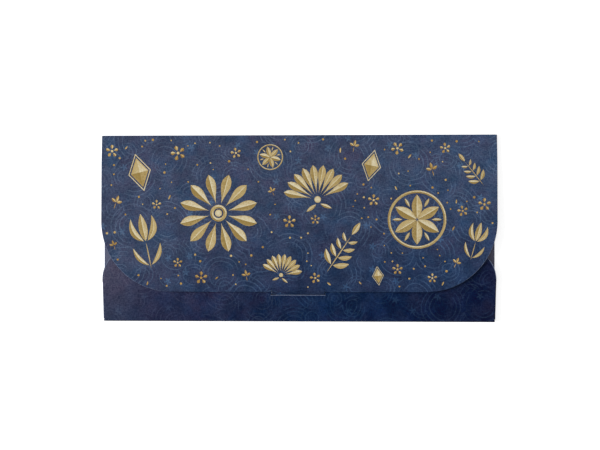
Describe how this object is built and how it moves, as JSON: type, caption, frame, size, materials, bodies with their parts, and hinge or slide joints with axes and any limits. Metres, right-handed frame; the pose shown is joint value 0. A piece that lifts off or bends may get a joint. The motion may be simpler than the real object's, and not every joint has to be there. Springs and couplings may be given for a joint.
{
  "type": "gift envelope",
  "caption": "Flat landscape gift envelope of folded card for money or a gift card, with a large round-cornered closure flap whose tongue tucks into a slot in the pocket front.",
  "frame": {"origin": "middle of the back, on the surface that the closed envelope lies on", "axes": "+X along the long side, to the right seen from the front; +Y towards the top crease; +Z out of the front"},
  "size_m": [0.184, 0.0866, 0.0031],
  "materials": {
    "flap_card": "uncoated printed card, navy",
    "pocket_card": "uncoated printed card, deep navy",
    "inner_card": "uncoated card, slate blue inner face",
    "adhesive": "dried adhesive"
  },
  "bodies": {
    "pocket": {"back_panel": "inner_card", "bottom_fold": "pocket_card", "front_panel": "pocket_card", "left_side_fold": "pocket_card", "right_side_fold": "pocket_card", "left_glue_tab": "inner_card", "right_glue_tab": "inner_card", "left_glue_line": "adhesive", "right_glue_line": "adhesive", "top_fold_back": "flap_card"},
    "flap": {"closure_flap": "flap_card", "top_fold_flap": "flap_card", "tuck_tongue": "flap_card"}
  },
  "joints": [
    {"name": "flap_hinge", "type": "hinge", "parent": "pocket", "child": "flap", "pos_m": [0, 0.0433, 0.00055], "axis": [-1, 0, 0], "range_deg": [0, 178], "deforming": ["tuck_tongue"]}
  ]
}
